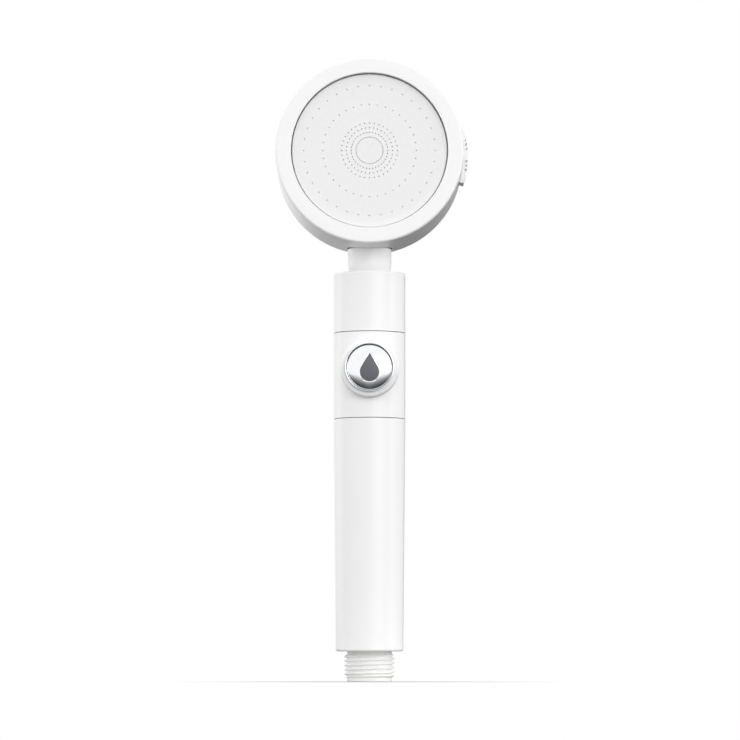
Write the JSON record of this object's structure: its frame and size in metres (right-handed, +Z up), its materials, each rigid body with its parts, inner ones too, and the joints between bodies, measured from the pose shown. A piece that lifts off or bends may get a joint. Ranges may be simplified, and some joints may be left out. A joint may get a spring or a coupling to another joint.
{
  "type": "handheld shower head",
  "caption": "Handheld shower head: round drum head with a side mode slider, slim straight handle with a push stop button, filter tube and a threaded hose end.",
  "frame": {"origin": "centre of the lower, hose end of the threaded inlet", "axes": "+Z up along the handle's axis, -Y the way the spray face looks, +X the side with the mode slider"},
  "size_m": [0.0801, 0.0379, 0.2589],
  "materials": {
    "white_shell": "smooth white moulded shell, satin gloss",
    "spray_plate": "fine satin white plate",
    "inner_plastic": "pale grey moulded plastic",
    "moving_plastic": "grey low-friction plastic",
    "seal_rubber": "black soft rubber",
    "spring_steel": "drawn stainless steel",
    "chrome": "mirror chrome plating",
    "icon_grey": "dark grey recessed inlay",
    "filter_felt": "wound cotton filter felt",
    "filter_cap": "blue moulded end cap",
    "white_thread": "white moulded thread"
  },
  "bodies": {
    "handset": {"head_drum": "white_shell", "back_cover": "white_shell", "spray_plate": "spray_plate", "channel_plate": "inner_plastic", "zone_gasket": "seal_rubber", "detent_spring": "spring_steel", "port_seals": "seal_rubber", "chamber_body": "inner_plastic", "chamber_lid": "inner_plastic", "chamber_screws": "spring_steel", "neck_pipe": "white_shell", "neck_o_rings": "seal_rubber", "upper_sleeve": "white_shell", "upper_core": "inner_plastic", "core_seal": "seal_rubber", "valve_housing": "white_shell", "housing_o_rings": "seal_rubber", "button_ring": "chrome", "valve_spring": "spring_steel", "valve_cartridge": "inner_plastic", "grip_tube": "white_shell", "filter_core": "filter_felt", "filter_caps": "filter_cap", "filter_gasket": "seal_rubber", "inlet_connector": "white_thread", "inlet_screen": "spring_steel", "connector_seal": "seal_rubber"},
    "mode_selector": {"selector_rotor": "moving_plastic", "mode_slider": "white_shell"},
    "stop_button": {"button_cap": "chrome", "button_icon": "icon_grey", "valve_plunger": "moving_plastic", "plunger_seals": "seal_rubber"}
  },
  "joints": [
    {"name": "mode_turn", "type": "hinge", "parent": "handset", "child": "mode_selector", "pos_m": [0, -0.021, 0.2199], "axis": [0, -0.9986, 0.0523], "range_deg": [-14, 14], "deforming": ["detent_spring"]},
    {"name": "stop_press", "type": "slide", "parent": "handset", "child": "stop_button", "axis": [0, 1, 0], "range_m": [0, 0.003], "stiffness_N_per_m": 1200, "springref_m": -0.002, "deforming": ["valve_spring"]}
  ]
}
